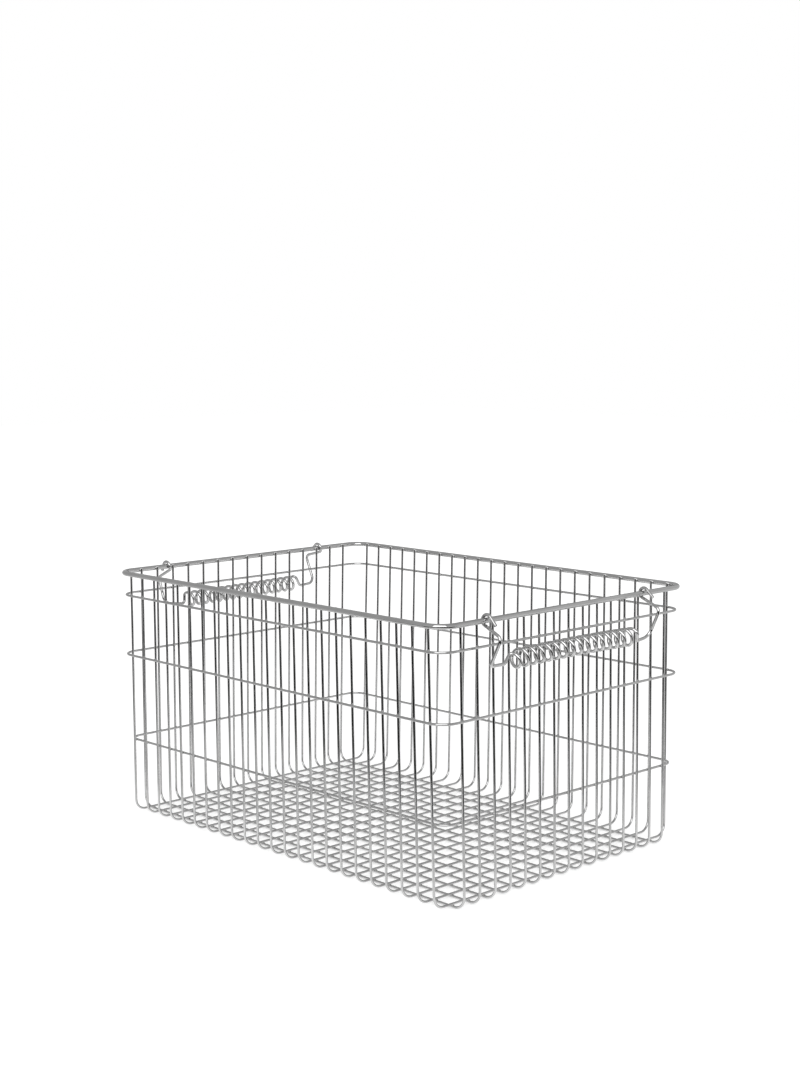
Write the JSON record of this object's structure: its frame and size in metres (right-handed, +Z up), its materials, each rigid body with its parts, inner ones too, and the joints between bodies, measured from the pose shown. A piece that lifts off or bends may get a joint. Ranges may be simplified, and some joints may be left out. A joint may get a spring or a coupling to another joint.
{
  "type": "wire locker basket",
  "caption": "Open rectangular basket of plated steel wire with a thick rim, thin hoops and two swinging bail handles with coiled grips.",
  "frame": {"origin": "middle of the basket's underside, on the surface that it stands on", "axes": "+X along the basket's length, towards the right handle; +Y across its width; +Z up out of its mouth"},
  "size_m": [0.487, 0.3288, 0.2494],
  "materials": {
    "rim_wire": "bright nickel-plated steel wire, soft gloss",
    "thin_wire": "bright nickel-plated steel wire, soft gloss",
    "handle_wire": "bright nickel-plated spring wire, glossy"
  },
  "bodies": {
    "basket": {"rim": "rim_wire", "upper_hoop": "thin_wire", "middle_hoop": "thin_wire", "lower_hoop": "thin_wire", "cross_wire_01": "thin_wire", "cross_wire_02": "thin_wire", "cross_wire_03": "thin_wire", "cross_wire_04": "thin_wire", "cross_wire_05": "thin_wire", "cross_wire_06": "thin_wire", "cross_wire_07": "thin_wire", "cross_wire_08": "thin_wire", "cross_wire_09": "thin_wire", "cross_wire_10": "thin_wire", "cross_wire_11": "thin_wire", "cross_wire_12": "thin_wire", "cross_wire_13": "thin_wire", "cross_wire_14": "thin_wire", "cross_wire_15": "thin_wire", "cross_wire_16": "thin_wire", "cross_wire_17": "thin_wire", "cross_wire_18": "thin_wire", "cross_wire_19": "thin_wire", "cross_wire_20": "thin_wire", "cross_wire_21": "thin_wire", "cross_wire_22": "thin_wire", "cross_wire_23": "thin_wire", "long_wire_01": "thin_wire", "long_wire_02": "thin_wire", "long_wire_03": "thin_wire", "long_wire_04": "thin_wire", "long_wire_05": "thin_wire", "long_wire_06": "thin_wire", "long_wire_07": "thin_wire", "long_wire_08": "thin_wire", "long_wire_09": "thin_wire", "long_wire_10": "thin_wire", "long_wire_11": "thin_wire", "long_wire_12": "thin_wire", "long_wire_13": "thin_wire", "long_wire_14": "thin_wire", "long_wire_15": "thin_wire"},
    "left_handle": {"handle_left": "handle_wire"},
    "right_handle": {"handle_right": "handle_wire"}
  },
  "joints": [
    {"name": "right_handle_swing", "type": "hinge", "parent": "basket", "child": "right_handle", "pos_m": [0.225, 0, 0.2436], "axis": [0, -1, 0], "range_deg": [0, 285]},
    {"name": "left_handle_swing", "type": "hinge", "parent": "basket", "child": "left_handle", "pos_m": [-0.225, 0, 0.2436], "axis": [0, 1, 0], "range_deg": [0, 285]}
  ]
}
